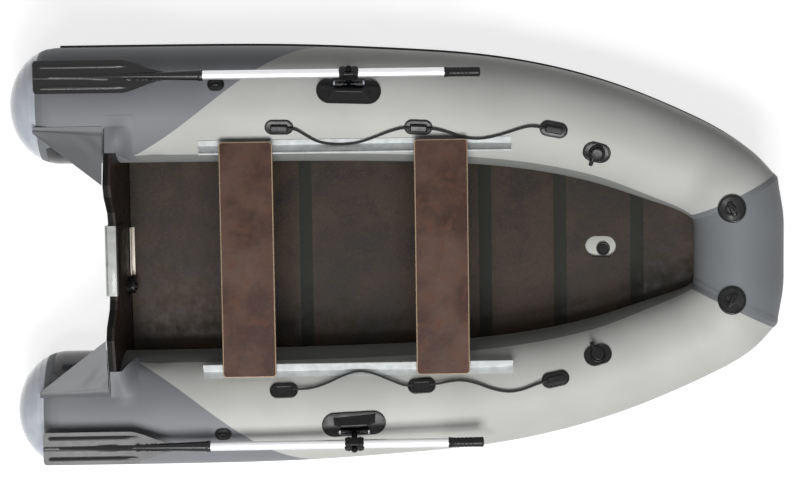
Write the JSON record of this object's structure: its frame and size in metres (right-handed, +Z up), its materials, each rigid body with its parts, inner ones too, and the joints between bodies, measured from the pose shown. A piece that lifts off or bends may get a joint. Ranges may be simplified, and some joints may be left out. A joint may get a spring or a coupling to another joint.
{
  "type": "inflatable rowing boat",
  "caption": "Inflatable boat with fabric tubes joined round the bow, plywood floor, sliding bench seats and oars that swing on tilting rowlock pins.",
  "frame": {"origin": "middle of the boat's box on the ground, under its side tubes", "axes": "+X to the bow, +Y to port, +Z up"},
  "size_m": [2.774, 1.5368, 0.496],
  "materials": {
    "black_plastic": "moulded, satin",
    "bottom_pvc": "coated fabric, matt",
    "bow_pvc": "coated fabric, soft gloss",
    "cap_pvc": "moulded coated fabric, glossy",
    "fitting_rubber": "moulded, satin",
    "floor_ply": "plywood with a dark brown film face, mottled",
    "foot_alloy": "extruded, bare",
    "gusset_pvc": "coated fabric, wrinkled",
    "joint_plastic": "extruded, satin",
    "keel_pvc": "coated fabric, matt",
    "motor_plate": "moulded, satin",
    "oar_alloy": "drawn tube, clear anodised",
    "oar_plastic": "moulded, satin",
    "rail_pvc": "coated fabric, smooth",
    "rope": "braided, matt",
    "rowlock_steel": "turned and polished",
    "runner_plastic": "moulded, satin",
    "seat_ply": "plywood with a reddish-brown film face",
    "strake_rubber": "extruded, matt",
    "transom_cover_plastic": "moulded, glossy",
    "transom_ply": "plywood with a dark film face",
    "tube_pvc": "coated fabric, dark grey with pale grey side panels, soft gloss"
  },
  "bodies": {
    "hull": {"air_valves": "fitting_rubber", "bottom_skin": "bottom_pvc", "bow_eyes": "fitting_rubber", "bow_strake": "strake_rubber", "bow_tube": "bow_pvc", "drain_valve": "black_plastic", "floor_joint_1": "joint_plastic", "floor_joint_2": "joint_plastic", "floor_joint_3": "joint_plastic", "floor_joint_4": "joint_plastic", "floor_panel_1": "floor_ply", "floor_panel_2": "floor_ply", "floor_panel_3": "floor_ply", "floor_panel_4": "floor_ply", "floor_panel_5": "floor_ply", "hinge_bars": "rowlock_steel", "inner_motor_plate": "motor_plate", "keel_tube": "keel_pvc", "keel_valve": "black_plastic", "oar_rests": "fitting_rubber", "outer_motor_plate": "motor_plate", "port_gusset": "gusset_pvc", "port_life_line_aft": "rope", "port_life_line_fore": "rope", "port_rail": "rail_pvc", "port_rowlock_base": "fitting_rubber", "port_stern_cap": "cap_pvc", "port_strake": "strake_rubber", "port_tube": "tube_pvc", "rope_holders": "fitting_rubber", "starboard_gusset": "gusset_pvc", "starboard_life_line_aft": "rope", "starboard_life_line_fore": "rope", "starboard_rail": "rail_pvc", "starboard_rowlock_base": "fitting_rubber", "starboard_stern_cap": "cap_pvc", "starboard_strake": "strake_rubber", "starboard_tube": "tube_pvc", "transom_board": "transom_ply", "transom_cover": "transom_cover_plastic", "transom_foot": "foot_alloy"},
    "aft_seat": {"aft_seat": "seat_ply", "aft_seat_runners": "runner_plastic"},
    "fore_seat": {"fore_seat": "seat_ply", "fore_seat_runners": "runner_plastic"},
    "port_rowlock": {"port_rowlock_pin": "rowlock_steel"},
    "starboard_rowlock": {"starboard_rowlock_pin": "rowlock_steel"},
    "port_oar": {"port_oar_collar": "oar_plastic", "port_oar_shaft": "oar_alloy", "port_oar_blade": "oar_plastic", "port_oar_grip": "oar_plastic"},
    "starboard_oar": {"starboard_oar_collar": "oar_plastic", "starboard_oar_shaft": "oar_alloy", "starboard_oar_blade": "oar_plastic", "starboard_oar_grip": "oar_plastic"}
  },
  "joints": [
    {"name": "aft_seat_slide", "type": "slide", "parent": "hull", "child": "aft_seat", "axis": [1, 0, 0], "range_m": [-0.065, 0.24]},
    {"name": "fore_seat_slide", "type": "slide", "parent": "hull", "child": "fore_seat", "axis": [1, 0, 0], "range_m": [-0.2, 0.15]},
    {"name": "port_rowlock_tilt", "type": "hinge", "parent": "hull", "child": "port_rowlock", "pos_m": [-0.166, 0.62, 0.409], "axis": [1, 0, 0], "range_deg": [0, 40]},
    {"name": "port_oar_swing", "type": "hinge", "parent": "port_rowlock", "child": "port_oar", "pos_m": [-0.166, 0.62, 0.409], "axis": [0, -0.6157, -0.788], "range_deg": [0, 125]},
    {"name": "starboard_rowlock_tilt", "type": "hinge", "parent": "hull", "child": "starboard_rowlock", "pos_m": [-0.166, -0.62, 0.409], "axis": [-1, 0, 0], "range_deg": [0, 40]},
    {"name": "starboard_oar_swing", "type": "hinge", "parent": "starboard_rowlock", "child": "starboard_oar", "pos_m": [-0.166, -0.62, 0.409], "axis": [0, -0.6157, 0.788], "range_deg": [0, 125]}
  ]
}
